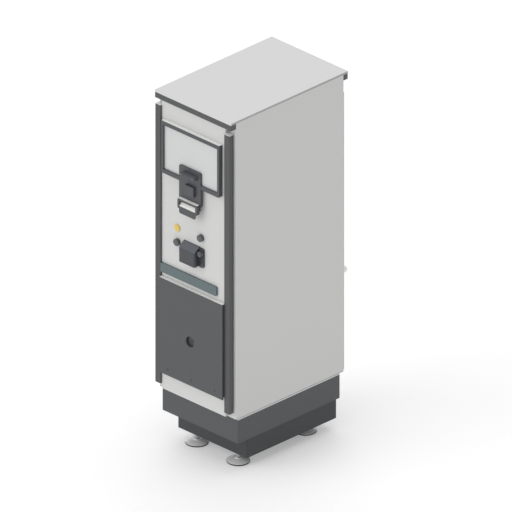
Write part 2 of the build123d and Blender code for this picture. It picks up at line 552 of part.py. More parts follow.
hood_x = plate_x + 2.0
hood_z1 = plate_z1 - 24.0
CARD_W, CARD_H, CARD_DEEP = 60.0, 3.0, 22.0
with BuildPart() as card_hood:
    with BuildSketch(Plane.YZ.offset(hood_x - HOOD_W / 2)):
        with BuildLine():
            Polyline((mouth_back, hood_z1), (front_y - HOOD_PROUD, hood_z1),
                     (front_y - HOOD_PROUD, hood_z1 - 9), (mouth_back, hood_z1 - HOOD_H),
                     (mouth_back, hood_z1))
        make_face()
    extrude(amount=HOOD_W)
    slab(hood_x - CARD_W / 2, hood_x + CARD_W / 2, hood_z1 - 6, hood_z1 - 6 + CARD_H,
         front_y - HOOD_PROUD + CARD_DEEP, CARD_DEEP, Mode.SUBTRACT)
card_hood.part.label = "card_hood"
export_step(card_hood.part, "parts/card_hood.step")

block_x = plate_x + 6.8
block_z1 = plate_z1 - 79.0
with BuildPart() as contactless_reader:
    slab(block_x - BLOCK_W / 2, block_x + BLOCK_W / 2, block_z1 - BLOCK_H, block_z1,
         mouth_back, BLOCK_PROUD - PLATE_PROUD)
    fillet(contactless_reader.faces().sort_by(Axis.Y)[0].edges(), 1.5)
contactless_reader.part.label = "contactless_reader"
export_step(contactless_reader.part, "parts/contactless_reader.step")

with BuildPart() as note_mouth:
    slab(plate_x - MOUTH_W / 2, plate_x + MOUTH_W / 2, mouth_z0, mouth_z1,
         mouth_back, MOUTH_PROUD - PLATE_PROUD, corner=MOUTH_CORNER)
    slab(plate_x - LIP_W / 2, plate_x + LIP_W / 2, note_z0 - LIP_H - 4, note_z0,
         front_y - MOUTH_PROUD + LIP_T, LIP_T, corner=MOUTH_CORNER)
    slab(plate_x - MOUTH_OPEN_W / 2, plate_x + MOUTH_OPEN_W / 2, note_z0, note_z1,
         mouth_back, MOUTH_PROUD - PLATE_PROUD, Mode.SUBTRACT)
note_mouth.part.label = "note_mouth"
export_step(note_mouth.part, "parts/note_mouth.step")

with BuildPart() as mouth_light:
    with BuildSketch(Plane.YZ.offset(plate_x - MOUTH_OPEN_W / 2)):
        with BuildLine():
            Polyline((mouth_back, note_z0), (front_y - MOUTH_PROUD + 1, note_z0),
                     (front_y - MOUTH_PROUD + 1, note_z0 + 1.5), (mouth_back - 2, slot_z0),
                     (mouth_back, slot_z0), (mouth_back, note_z0))
        make_face()
    extrude(amount=MOUTH_OPEN_W)
mouth_light.part.label = "mouth_light"
export_step(mouth_light.part, "parts/mouth_light.step")

HEAD_D, STACKER_H = 170.0, 150.0
with BuildPart() as note_reader:
    slab(plate_x - head_w / 2 + 1, plate_x + head_w / 2 - 1, head_z0 + 1, head_z1 - 1,
         leaf_front + HEAD_D, HEAD_D, corner=2)
    slab(plate_x - SLOT_W / 2, plate_x + SLOT_W / 2, slot_z0, slot_z0 + SLOT_H,
         leaf_front + HEAD_D - 30, HEAD_D - 30, Mode.SUBTRACT)
    block(plate_x - head_w / 2 + 3, plate_x + head_w / 2 - 3, leaf_front + HEAD_D - 110,
          leaf_front + HEAD_D, head_z0 + 1 - STACKER_H, head_z0 + 1, corner=4)
note_reader.part.label = "note_reader"
export_step(note_reader.part, "parts/note_reader.step")


# ---------------------------------------------------------------- coin cup, buttons, light bar
cup_front = front_y - CUP_PROUD
CUP_RISE, CUP_SET = 26.0, 34.0         # sloped top: height, and how far it runs back
CUP_DEEP = 38.0                        # cup floor reaches this far behind the leaf's outer face
flap_pin_r = 2.0
cup_flap_x0, cup_flap_x1 = cup_x0 + CUP_WALL + 3, cup_x1 - CUP_WALL - 3
cup_flap_z0, cup_flap_z1 = cup_z0 + 9, cup_z1 - 6
cup_pin_y, cup_pin_z = cup_front + 3.2, cup_flap_z1 - 3.2
with BuildPart() as coin_cup:
    with BuildSketch(Plane.YZ.offset(cup_x0)):
        with BuildLine():
            Polyline((leaf_front, cup_z0), (cup_front, cup_z0), (cup_front, cup_z1),
                     (cup_front + CUP_SET, cup_z1 + CUP_RISE), (leaf_front, cup_z1 + CUP_RISE),
                     (leaf_front, cup_z0))
        make_face()
    extrude(amount=CUP_W)
    fillet(coin_cup.faces().sort_by(Axis.Y)[0].edges().filter_by(Axis.Z), 8)
    slab(cup_x1 - 2, cup_x1 + CHEEK_W, cup_z0 - 3, cup_z1 + CUP_RISE - 2, leaf_front,
         CHEEK_PROUD - LEAF_PROUD, corner=9)
    block(cup_x0 + CUP_NECK, cup_x1 - CUP_NECK, leaf_front, leaf_front + CUP_DEEP,
          cup_z0 + CUP_WALL, cup_z1 - CUP_WALL)
    block(cup_x0 + CUP_WALL + 2.5, cup_x1 - CUP_WALL - 2.5, cup_front + 6.5, leaf_front - 2,
          cup_z0 + CUP_WALL + 2.5, cup_z1 - CUP_WALL - 2.5, Mode.SUBTRACT)
    block(cup_x0 + CUP_NECK + 2, cup_x1 - CUP_NECK - 2, leaf_front - 2, leaf_front + CUP_DEEP - 2,
          cup_z0 + CUP_WALL + 2.5, cup_z1 - CUP_WALL - 2.5, Mode.SUBTRACT)
    slab(cup_flap_x0 - FLAT_GAP, cup_flap_x1 + FLAT_GAP, cup_flap_z0 - FLAT_GAP, cup_flap_z1 + FLAT_GAP,
         cup_front + 7, 7, Mode.SUBTRACT)
    slab(cup_x - 24, cup_x + 24, cup_z1 - CUP_WALL - 2.6, cup_z1, leaf_front + CUP_DEEP - 4, 18,
         Mode.SUBTRACT)
    rod((cup_flap_x0 - 3, cup_pin_y, cup_pin_z), RIGHT, flap_pin_r + RUN_FIT,
        cup_flap_x1 - cup_flap_x0 + 6, mode=Mode.SUBTRACT)
    x, z, seat, proud, radius = buttons["coin_return_button"]
    rod((x, leaf_front, z), FORWARD, radius + RUN_FIT, seat - LEAF_PROUD, mode=Mode.SUBTRACT)
coin_cup.part.label = "coin_cup"
export_step(coin_cup.part, "parts/coin_cup.step")

with BuildPart() as cup_flap:
    slab(cup_flap_x0, cup_flap_x1, cup_flap_z0, cup_flap_z1, cup_front + 3.4, 3.0, corner=1.5)
    rod((cup_flap_x0, cup_pin_y, cup_pin_z), RIGHT, 3.0, cup_flap_x1 - cup_flap_x0)
    rod((cup_flap_x0 - 2.6, cup_pin_y, cup_pin_z), RIGHT, flap_pin_r, cup_flap_x1 - cup_flap_x0 + 5.2)
cup_flap.part.label = "cup_flap"
export_step(cup_flap.part, "parts/cup_flap.step")

CHUTE_W, CHUTE_H = 52.0, 110.0
with BuildPart() as coin_chute:
    block(cup_x - CHUTE_W / 2, cup_x + CHUTE_W / 2, leaf_front + CUP_DEEP - 24, leaf_front + CUP_DEEP,
          cup_z1 - CUP_WALL, cup_z1 + CHUTE_H)
    block(cup_x - CHUTE_W / 2 + 3, cup_x + CHUTE_W / 2 - 3, leaf_front + CUP_DEEP - 21,
          leaf_front + CUP_DEEP - 3, cup_z1 - CUP_WALL, cup_z1 + CHUTE_H, Mode.SUBTRACT)
coin_chute.part.label = "coin_chute"
export_step(coin_chute.part, "parts/coin_chute.step")

COLLAR_RIM, COLLAR_T = 3.0, 3.0        # rim behind the panel that stops the cap coming out
plunger_back = skin_back + FLAT_GAP + COLLAR_T + 1.0
switch_front = plunger_back + BUTTON_TRAVEL + 1.0


def push_button(x, z, seat, proud, radius):
    """Round cap sliding through the panel, with its retaining collar behind the panel."""
    rod((x, plunger_back, z), FORWARD, radius, plunger_back - front_y + seat + proud)
    rod((x, plunger_back, z), FORWARD, radius + COLLAR_RIM, COLLAR_T)


with BuildPart() as help_button:
    push_button(*buttons["help_button"])
    fillet(help_button.faces().sort_by(Axis.Y)[0].edges(), 1.5)
help_button.part.label = "help_button"
export_step(help_button.part, "parts/help_button.step")

with BuildPart() as cancel_button:
    push_button(*buttons["cancel_button"])
    fillet(cancel_button.faces().sort_by(Axis.Y)[0].edges(), 1.0)
cancel_button.part.label = "cancel_button"
export_step(cancel_button.part, "parts/cancel_button.step")

with BuildPart() as receipt_button:
    push_button(*buttons["receipt_button"])
    fillet(receipt_button.faces().sort_by(Axis.Y)[0].edges(), 1.0)
receipt_button.part.label = "receipt_button"
export_step(receipt_button.part, "parts/receipt_button.step")

with BuildPart() as coin_return_button:
    push_button(*buttons["coin_return_button"])
    fillet(coin_return_button.faces().sort_by(Axis.Y)[0].edges(), 1.0)
coin_return_button.part.label = "coin_return_button"
export_step(coin_return_button.part, "parts/coin_return_button.step")

with BuildPart() as switch_bodies:
    for x, z, seat, proud, radius in buttons.values():
        slab(x - 14, x + 14, z - 14, z + 14, switch_front + 26, 26, corner=3)
        slab(x - 4, x + 4, z - 10, z + 10, switch_front + 34, 8)
switch_bodies.part.label = "switch_bodies"
export_step(switch_bodies.part, "parts/switch_bodies.step")

bar_x0, bar_x1 = leaf_x0 + 0.3, leaf_x1 - 48.5
with BuildPart() as light_bar:
    slab(bar_x0, bar_x1, bar_z0, bar_z1, leaf_front, BAR_PROUD - LEAF_PROUD, corner=5)
    slab(bar_x0 + 3, bar_x1 - 3, bar_z0 + 3, bar_z1 - 3, leaf_front, BAR_PROUD - LEAF_PROUD - 3,
         Mode.SUBTRACT, 3)
light_bar.part.label = "light_bar"
export_step(light_bar.part, "parts/light_bar.step")

# ---------------------------------------------------------------- vault flap and its lock
with BuildPart() as vault_flap:
    slab(flap_x0, flap_x1, flap_z0, flap_z1, flap_back, flap_depth)
    slab(flap_x0 + FLAP_SHEET, flap_x1 - FLAP_SHEET, flap_z0 + FLAP_SHEET, flap_z1 - FLAP_SHEET,
         flap_back, flap_depth - FLAP_SHEET, Mode.SUBTRACT)
    slab(flap_x0, flap_x1, flap_z0, flap_pivot_z + 1, flap_back, flap_back - flap_pivot_y + 1,
         Mode.SUBTRACT)
    for x in flap_hinge_x:
        slab(x - FLAP_KNUCKLE_W / 2 - 1, x + FLAP_KNUCKLE_W / 2 + 1, flap_z0, flap_z0 + FLAP_SHEET,
             flap_back, flap_depth - FLAP_SHEET, Mode.SUBTRACT)
        rod((x, flap_front, flap_z0 + 28), BACK, 2.6, FLAP_SHEET, mode=Mode.SUBTRACT)
    rod((lock_x, flap_front + FLAP_SHEET, lock_z), FORWARD, LOCK_CUP_R, FLAP_SHEET, mode=Mode.SUBTRACT)
vault_flap.part.label = "vault_flap"
export_step(vault_flap.part, "parts/vault_flap.step")

with BuildPart() as flap_hinge_screws:
    for x in flap_hinge_x:
        domed_screw(x, flap_front, flap_z0 + 28, FORWARD, 5.2, 8)
flap_hinge_screws.part.label = "flap_hinge_screws"
export_step(flap_hinge_screws.part, "parts/flap_hinge_screws.step")

with BuildPart() as flap_hinge_leaves:
    for x in flap_hinge_x:
        slab(x - 34, x + 34, flap_z0 + FLAP_SHEET + 0.2, flap_z0 + 40, flap_front + FLAP_SHEET + 2, 2)
        for x0 in (x - FLAP_KNUCKLE_W / 2 - 1 - FLAP_KNUCKLE_W, x + FLAP_KNUCKLE_W / 2 + 1):
            rod((x0, flap_pivot_y, flap_pivot_z), RIGHT, FLAP_KNUCKLE_R, FLAP_KNUCKLE_W)
        slab(x - FLAP_KNUCKLE_W / 2 - FLAT_GAP, x + FLAP_KNUCKLE_W / 2 + FLAT_GAP,
             flap_pivot_z - FLAP_KNUCKLE_R - 1, flap_pivot_z + FLAP_KNUCKLE_R + 1,
             flap_front + FLAP_SHEET + 2, 2, Mode.SUBTRACT)
        rod((x, flap_front + FLAP_SHEET + 2, flap_z0 + 28), FORWARD, 2.6, 2, mode=Mode.SUBTRACT)
        rod((x - 1.5 * FLAP_KNUCKLE_W - 1, flap_pivot_y, flap_pivot_z), RIGHT, FLAP_PIN_R,
            3 * FLAP_KNUCKLE_W + 2)
flap_hinge_leaves.part.label = "flap_hinge_leaves"
export_step(flap_hinge_leaves.part, "parts/flap_hinge_leaves.step")

with BuildPart() as flap_lock_cup:
    rod((lock_x, lock_floor_y + 2, lock_z), FORWARD, LOCK_CUP_R, CUP_FLOOR + 2 - 0.5)
    rod((lock_x, lock_floor_y, lock_z), FORWARD, LOCK_CUP_R - 2, CUP_FLOOR, mode=Mode.SUBTRACT)
    rod((lock_x, lock_floor_y + LOCK_BARREL_L, lock_z), FORWARD, LOCK_BARREL_R, LOCK_BARREL_L)
    rod((lock_x, lock_floor_y + LOCK_BARREL_L, lock_z), FORWARD, LOCK_PLUG_R + RUN_FIT,
        LOCK_BARREL_L + 1, mode=Mode.SUBTRACT)
flap_lock_cup.part.label = "flap_lock_cup"
export_step(flap_lock_cup.part, "parts/flap_lock_cup.step")

KEY_W, KEY_H, KEY_DEEP = 2.4, 9.0, 8.0
CAM_L, CAM_T, CAM_W = 46.0, 4.0, 16.0
with BuildPart() as flap_lock_plug:
    rod((lock_x, plug_back, lock_z), FORWARD, LOCK_PLUG_R, LOCK_BARREL_L + 3)
    slab(lock_x - KEY_W / 2, lock_x + KEY_W / 2, lock_z - KEY_H / 2, lock_z + KEY_H / 2,
         lock_floor_y - 1 + KEY_DEEP, KEY_DEEP, Mode.SUBTRACT)
    slab(lock_x - CAM_L, lock_x + CAM_W / 2, lock_z - CAM_W / 2, lock_z + CAM_W / 2,
         plug_back + CAM_T, CAM_T, corner=5)
flap_lock_plug.part.label = "flap_lock_plug"
export_step(flap_lock_plug.part, "parts/flap_lock_plug.step")

# ---------------------------------------------------------------- front door latch
ROD_R, ROD_TRAVEL = 5.0, 24.0
rod_x, rod_y = leaf_x1 + 5.5, front_y + 14.0
CASE_W, CASE_H, CASE_T = 44.0, 70.0, 16.0
GUIDE_H, GUIDE_ABOVE = 22.0, 101.0     # rod guides, and the middle one's height above the case
case_z = lock_z + 150
handle_x = leaf_x1 - 28
case_y = front_y + 4                   # front face of the latch case
upper_rod_z1 = roof_z - HEADER_H - 6
with BuildPart() as latch_case:
    slab(handle_x - CASE_W / 2, rod_x + 12, case_z - CASE_H / 2, case_z + CASE_H / 2,
         case_y + CASE_T, CASE_T, corner=4)
    rod((rod_x, rod_y, case_z - CASE_H / 2), UP, ROD_R + RUN_FIT, CASE_H, mode=Mode.SUBTRACT)
    rod((handle_x, case_y + CASE_T, case_z), FORWARD, 9 + RUN_FIT, CASE_T, mode=Mode.SUBTRACT)
    slab(leaf_x1 - HEM, leaf_x1, case_z - 30, case_z + 30, case_y, case_y - leaf_back)
    for z in (body_z + SILL_H + 40, case_z + CASE_H / 2 + GUIDE_ABOVE, glass_z1 + 30):
        slab(leaf_x1 - HEM, rod_x + 9, z, z + GUIDE_H, rod_y + 8, rod_y + 8 - leaf_back)
        rod((rod_x, rod_y, z), UP, ROD_R + RUN_FIT, GUIDE_H, mode=Mode.SUBTRACT)
latch_case.part.label = "latch_case"
export_step(latch_case.part, "parts/latch_case.step")

with BuildPart() as latch_handle:
    rod((handle_x, case_y + CASE_T, case_z), FORWARD, 9, CASE_T + 8)
    slab(handle_x - 9, handle_x + 9, case_z - 100, case_z + 9, case_y - 3, 7, corner=8.5)
latch_handle.part.label = "latch_handle"
export_step(latch_handle.part, "parts/latch_handle.step")

with BuildPart() as upper_latch_rod:
    rod((rod_x, rod_y, case_z + 2), UP, ROD_R, upper_rod_z1 - case_z - 2)
upper_latch_rod.part.label = "upper_latch_rod"
export_step(upper_latch_rod.part, "parts/upper_latch_rod.step")

with BuildPart() as lower_latch_rod:
    rod((rod_x, rod_y, body_z + SILL_H + 6), UP, ROD_R, case_z - 2 - body_z - SILL_H - 6)
lower_latch_rod.part.label = "lower_latch_rod"
export_step(lower_latch_rod.part, "parts/lower_latch_rod.step")

# ---------------------------------------------------------------- receipt printer on the door
PRINTER_W, PRINTER_D, PRINTER_H = 96.0, 120.0, 84.0
ROLL_R, CORE_R = 38.0, 9.0
printer_x0 = flap_open_x0 + 12
printer_y0 = skin_back + 2
printer_z0 = vault_top + 2 * ROLL_R + 18
roll_y, roll_z = printer_y0 + PRINTER_D - 52, printer_z0 - ROLL_R - 8
cheek_z0 = roll_z - 12
with BuildPart() as receipt_printer:
    block(printer_x0, printer_x0 + PRINTER_W, printer_y0, printer_y0 + PRINTER_D,
          printer_z0, printer_z0 + PRINTER_H, corner=3)
    for x in (printer_x0, printer_x0 + PRINTER_W - 3):
        block(x, x + 3, roll_y - 14, roll_y + 14, cheek_z0, printer_z0)
        rod((x, roll_y, roll_z), RIGHT, CORE_R - 3 + RUN_FIT, 3, mode=Mode.SUBTRACT)
receipt_printer.part.label = "receipt_printer"
export_step(receipt_printer.part, "parts/receipt_printer.step")

with BuildPart() as paper_roll:
    rod((printer_x0 + 5, roll_y, roll_z), RIGHT, ROLL_R, PRINTER_W - 10)
    rod((printer_x0 - 2, roll_y, roll_z), RIGHT, CORE_R - 3, PRINTER_W + 4)
paper_roll.part.label = "paper_roll"
export_step(paper_roll.part, "parts/paper_roll.step")

# ---------------------------------------------------------------- rear door
REAR_GAP = 0.8
REAR_SKIN = 2.0
rear_z0, rear_z1 = body_z + 8, roof_z - REAR_TRANSOM_H - 3
rear_x0, rear_x1 = -side_x + 4, side_x - 3
rear_face = rear_y + REAR_PLATE
rear_pivot_x, rear_pivot_y = -side_x + 6, rear_y + REAR_PIVOT_OUT
REAR_KNUCKLE_R, REAR_PIN_R = 4.5, 2.5
rear_levels = [rear_z0 + 130, (rear_z0 + rear_z1) / 2, rear_z1 - 130]
knob_x, knob_z = side_x - 24, body_z + 492
fan_z = rear_z1 - 190
VENT_W, VENT_H, VENT_COUNT = 150.0, 5.0, 10
with BuildPart() as rear_door_panel:
    block(rear_x0, rear_x1, rear_y + REAR_GAP, rear_face, rear_z0, rear_z1, corner=1.5)
    block(rear_x0 + REAR_SKIN, rear_x1 - REAR_SKIN, rear_y + REAR_GAP, rear_face - REAR_SKIN,
          rear_z0 + REAR_SKIN, rear_z1 - REAR_SKIN, Mode.SUBTRACT)
    for z in rear_levels:
        block(rear_x0, rear_pivot_x + 7, rear_y, rear_face, z - KNUCKLE_H / 2 - 1,
              z + KNUCKLE_H / 2 + 1, Mode.SUBTRACT)
    for index in range(VENT_COUNT):
        for z in (fan_z - 50 + index * 11, rear_z0 + 90 + index * 11):
            block(-VENT_W / 2, VENT_W / 2, rear_y, rear_face, z, z + VENT_H, Mode.SUBTRACT)
    rod((knob_x, rear_y, knob_z), BACK, KNOB_SHAFT_R + RUN_FIT, REAR_PLATE, mode=Mode.SUBTRACT)
rear_door_panel.part.label = "rear_door_panel"
export_step(rear_door_panel.part, "parts/rear_door_panel.step")

with BuildPart() as rear_hinge_brackets:
    for z in rear_levels:
        z0 = z - KNUCKLE_H / 2
        block(rear_pivot_x - 3, rear_pivot_x + 3, rear_y, rear_pivot_y, z0, z0 + KNUCKLE_H)
        rod((rear_pivot_x, rear_pivot_y, z0), UP, REAR_KNUCKLE_R, KNUCKLE_H)
        rod((rear_pivot_x, rear_pivot_y, z0), UP, REAR_PIN_R + RUN_FIT, KNUCKLE_H, mode=Mode.SUBTRACT)
rear_hinge_brackets.part.label = "rear_hinge_brackets"
export_step(rear_hinge_brackets.part, "parts/rear_hinge_brackets.step")

with BuildPart() as rear_hinge_leaves:
    for z in rear_levels:
        for z0 in (z - 1.5 * KNUCKLE_H - 1, z + KNUCKLE_H / 2 + 1):
            block(rear_pivot_x, rear_pivot_x + 26, rear_face, rear_face + 3, z0, z0 + KNUCKLE_H)
            rod((rear_pivot_x, rear_pivot_y, z0), UP, REAR_KNUCKLE_R, KNUCKLE_H)
        rod((rear_pivot_x, rear_pivot_y, z - 1.5 * KNUCKLE_H - 1), UP, REAR_PIN_R, 3 * KNUCKLE_H + 2)
rear_hinge_leaves.part.label = "rear_hinge_leaves"
export_step(rear_hinge_leaves.part, "parts/rear_hinge_leaves.step")

REAR_CAM_W, REAR_CAM_L = 14.0, 20.0
with BuildPart() as rear_knob:
    rod((knob_x, rear_face + 0.3, knob_z), BACK, KNOB_R, KNOB_L - 0.3)
    fillet(rear_knob.faces().sort_by(Axis.Y)[-1].edges(), 3)
    rod((knob_x, rear_face + 0.3, knob_z), FORWARD, KNOB_SHAFT_R, REAR_PLATE + 8.3)
    block(knob_x - REAR_CAM_W / 2, knob_x + REAR_CAM_W / 2, rear_y - 12, rear_y - 8,
          knob_z - REAR_CAM_L, knob_z + REAR_CAM_W / 2)
rear_knob.part.label = "rear_knob"
export_step(rear_knob.part, "parts/rear_knob.step")

FAN_FRAME = 120.0
FAN_T = 25.0
fan_y0 = rear_y + REAR_GAP + 3.2 - FAN_T           # the frame screws to the skin's inner face
with BuildPart() as fan_frame:
    block(-FAN_FRAME / 2, FAN_FRAME / 2, fan_y0, fan_y0 + FAN_T, fan_z - FAN_FRAME / 2, fan_z + FAN_FRAME / 2)
    rod((0, fan_y0, fan_z), BACK, FAN_R - 1, FAN_T, mode=Mode.SUBTRACT)
    slab(-FAN_FRAME / 2, FAN_FRAME / 2, fan_z - 4, fan_z + 4, fan_y0 + 4, 4)
    slab(-4, 4, fan_z - FAN_FRAME / 2, fan_z + FAN_FRAME / 2, fan_y0 + 4, 4)
    rod((0, fan_y0, fan_z), BACK, 16, 5)
    rod((0, fan_y0, fan_z), BACK, 3, 14)
fan_frame.part.label = "fan_frame"
export_step(fan_frame.part, "parts/fan_frame.step")

BLADES = 7
with BuildPart() as fan_rotor:
    rod((0, fan_y0 + 6, fan_z), BACK, 18, 16)
    for index in range(BLADES):
        turn = math.radians(index * 360 / BLADES)
        out = Vector(math.cos(turn), 0, math.sin(turn))
        root = Vector(0, fan_y0 + 14, fan_z) + out * 14
        across = Vector(0, 0.6, 0) + out.cross(Vector(0, 0.8, 0))
        with BuildSketch(Plane(origin=root, x_dir=across, z_dir=out)):
            Rectangle(20, 2)
        extrude(amount=38)
    rod((0, fan_y0 + 6, fan_z), BACK, 3 + RUN_FIT, 9, mode=Mode.SUBTRACT)
fan_rotor.part.label = "fan_rotor"
export_step(fan_rotor.part, "parts/fan_rotor.step")
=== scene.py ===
# %% [markdown]
# # A parking pay station in its studio
# The machine is a folded steel cabinet with a front door that carries a screen, a banknote mouth, four push
# buttons and a coin cup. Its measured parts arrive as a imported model, so this lesson dresses them: it gives
# every part the finish it has in the factory, adds the small curved pieces that catch the light, and sets
# the lamps and the camera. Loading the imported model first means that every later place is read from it.

import json
import math

import bmesh
import bpy
import numpy as np
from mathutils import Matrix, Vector


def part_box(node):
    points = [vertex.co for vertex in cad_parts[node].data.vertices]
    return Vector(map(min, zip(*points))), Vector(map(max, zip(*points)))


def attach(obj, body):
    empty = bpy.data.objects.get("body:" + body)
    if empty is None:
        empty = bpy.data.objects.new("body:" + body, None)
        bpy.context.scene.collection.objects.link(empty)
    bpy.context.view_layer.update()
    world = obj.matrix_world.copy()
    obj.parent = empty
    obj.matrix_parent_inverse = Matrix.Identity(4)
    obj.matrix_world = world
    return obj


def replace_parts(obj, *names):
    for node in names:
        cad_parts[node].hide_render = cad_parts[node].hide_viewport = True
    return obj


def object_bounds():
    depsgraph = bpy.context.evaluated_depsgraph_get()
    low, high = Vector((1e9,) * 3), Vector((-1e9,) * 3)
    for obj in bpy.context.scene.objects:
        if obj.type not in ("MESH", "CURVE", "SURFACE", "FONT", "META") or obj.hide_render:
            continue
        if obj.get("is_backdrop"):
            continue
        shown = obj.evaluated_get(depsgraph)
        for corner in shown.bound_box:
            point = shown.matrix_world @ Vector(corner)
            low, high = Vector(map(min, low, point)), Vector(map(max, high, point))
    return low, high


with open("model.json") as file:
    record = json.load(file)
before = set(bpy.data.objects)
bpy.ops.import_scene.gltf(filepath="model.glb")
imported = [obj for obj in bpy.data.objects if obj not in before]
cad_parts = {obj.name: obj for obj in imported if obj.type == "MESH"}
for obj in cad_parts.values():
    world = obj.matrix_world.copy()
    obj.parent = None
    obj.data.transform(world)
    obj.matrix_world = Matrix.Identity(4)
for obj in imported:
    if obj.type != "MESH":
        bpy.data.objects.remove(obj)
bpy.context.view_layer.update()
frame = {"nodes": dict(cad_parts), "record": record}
MM = 0.001

# %% [markdown]
# ## Colours
# Paint makers give colours as sRGB hex values, and Blender's shaders work in linear light, so one function
# does the change for every colour here. Writing the linear numbers out would hide which paint was meant.

# %% Turn a hex colour to linear light
def linear(hex_colour):
    """Below 0.04045 the sRGB value is divided by 12.92; above it, it is ((value + 0.055) / 1.055) ** 2.4."""
    values = np.array([int(hex_colour[i : i + 2], 16) / 255 for i in (1, 3, 5)])
    light = np.where(values <= 0.04045, values / 12.92, ((values + 0.055) / 1.055) ** 2.4)
    return (*light.tolist(), 1.0)


print("linear value of mid grey:", round(linear("#808080")[0], 3))

# %% [markdown]
# ## Shader nodes
# A finish is a small graph of nodes. One function adds a node: it sets the node's own options and unlinked
# sockets, and then joins the sockets that are fed by other nodes, so that every material below reads like a
# recipe. Two more open and close a material, because all of them start from the piece's own coordinates and
# end in the same output.

# %% Add one shader node
def add(tree, kind, settings=None, links=None):
    """Makes a node, sets its options or sockets by name or number, and links {socket: (node, output)}."""
    node = tree.nodes.new(kind)
    for name, value in (settings or {}).items():
        if isinstance(name, int) or name in node.inputs:
            node.inputs[name].default_value = value
        else:
            setattr(node, name, value)
    for name, (source, output) in (links or {}).items():
        tree.links.new(source.outputs[output], node.inputs[name])
    return node


def start_material(name):
    """An empty material, its node tree, and object coordinates, which stay fixed to the piece."""
    material = bpy.data.materials.new(name)
    material.use_nodes = True
    tree = material.node_tree
    tree.nodes.clear()
    return material, tree, add(tree, "ShaderNodeTexCoord")


def end_material(material, tree, surface):
    """Joins the finished shader to the output, and returns the material."""
    add(tree, "ShaderNodeOutputMaterial", links={"Surface": (surface, "BSDF")})
    return material


print("node helpers are ready")

# %% [markdown]
# ## Powder coat
# The cabinet is steel sheet, sprayed with dry powder and baked. The melted powder never levels fully, so the
# paint has an orange peel: soft dimples about 1.5 mm apart and a few hundredths of a millimetre deep. They
# break up the reflections and make the paint look matt from afar. A noise texture drives a bump, because
# the dimples are far too shallow to model, and the colour stays even. The light grey panels are matt. The
# anthracite posts, the plinth and the vault flap use a finer powder with a little more gloss.

# %% Mix the powder coats
PEEL_DRAWN_MM = 4.0    # the dimples are 1.5 mm apart, and drawn coarser so that they show from two metres


def powder_coat(name, hex_colour, roughness, depth_mm, specular=0.5):
    """Baked powder: an even dielectric paint over a noise bump at the orange peel's spacing."""
    material, tree, coords = start_material(name)
    peel = add(tree, "ShaderNodeTexNoise",
               {"Scale": 1 / (PEEL_DRAWN_MM * MM), "Detail": 2.0, "Roughness": 0.4},
               {"Vector": (coords, "Object")})
    bump = add(tree, "ShaderNodeBump", {"Strength": 0.5, "Distance": depth_mm * MM}, {"Height": (peel, "Fac")})
    paint = add(tree, "ShaderNodeBsdfPrincipled",
                {"Base Color": linear(hex_colour), "Roughness": roughness, "IOR": 1.5,
                 "Specular IOR Level": specular}, {"Normal": (bump, "Normal")})
    return end_material(material, tree, paint)


LIGHT_GREY, ROOF_GREY, ANTHRACITE = "#D6D6D5", "#DCDCDC", "#4C4D4F"
BASE_GREY, TOE_GREY = "#4E5052", "#3A3D3F"
finishes = {
    "powder_light": powder_coat("Powder coat, light grey matt", LIGHT_GREY, 0.62, 0.05),
    "powder_roof": powder_coat("Powder coat, roof grey matt", ROOF_GREY, 0.6, 0.05),
    "powder_dark": powder_coat("Powder coat, anthracite semi-gloss", ANTHRACITE, 0.42, 0.04),
    "powder_base": powder_coat("Powder coat, plinth anthracite", BASE_GREY, 0.5, 0.05),
    "powder_toe": powder_coat("Powder coat, toe-kick near black", TOE_GREY, 0.55, 0.05),
}
print("powder coats:", len(finishes))

# %% [markdown]
# ## Bare metals
# Brackets and rods are zinc plated, which is dull and cloudy, with patches a few millimetres wide. Housings
# inside are plain aluminium sheet whose rolling marks run one way. A metal's colour is the colour of its
# reflection, so both are metallic shaders, and their marks go into roughness. The levelling feet and the
# rear knob are turned steel. Their near-white colour with only a little metal in it is a painted
# reflection: it stands in for the bright shine on their domes, which a true metal here would lose to the
# dark underside above it. The lock's plug has a dark chrome skin, which is half way between the two.

# %% Make the metals
def metal(name, hex_colour, low, high, spacing_mm, stretch=(1, 1, 1), metallic=1.0):
    """A metallic shader whose roughness runs from low to high with a noise stretched along the tool marks."""
    material, tree, coords = start_material(name)
    along = add(tree, "ShaderNodeMapping", {"Scale": stretch}, {"Vector": (coords, "Object")})
    marks = add(tree, "ShaderNodeTexNoise", {"Scale": 1 / (spacing_mm * MM), "Detail": 3.0},
                {"Vector": (along, "Vector")})
    spread = add(tree, "ShaderNodeMapRange", {"To Min": low, "To Max": high}, {"Value": (marks, "Fac")})
    bare = add(tree, "ShaderNodeBsdfPrincipled", {"Base Color": linear(hex_colour), "Metallic": metallic},
               {"Roughness": (spread, "Result")})
    return end_material(material, tree, bare)


finishes |= {
    # Near-white steel with little metal: painted reflection on the feet and the knob.
    "bright_steel": metal("Steel, near white with painted reflection", "#FAFAF9", 0.28, 0.42, 2.0,
                          (1, 1, 8), 0.12),
    "zinc_steel": metal("Zinc plated steel", "#B9BCC0", 0.38, 0.6, 6.0),
    "circuit_case": metal("Aluminium sheet, mill finish", "#C9CBCE", 0.35, 0.5, 1.2, (0.05, 1, 1)),
    "lock_brass": metal("Black chromed brass", "#4A4A49", 0.3, 0.4, 3.0, metallic=0.5),
}
print("metals so far:", [f for f in finishes if not f.startswith("powder")])
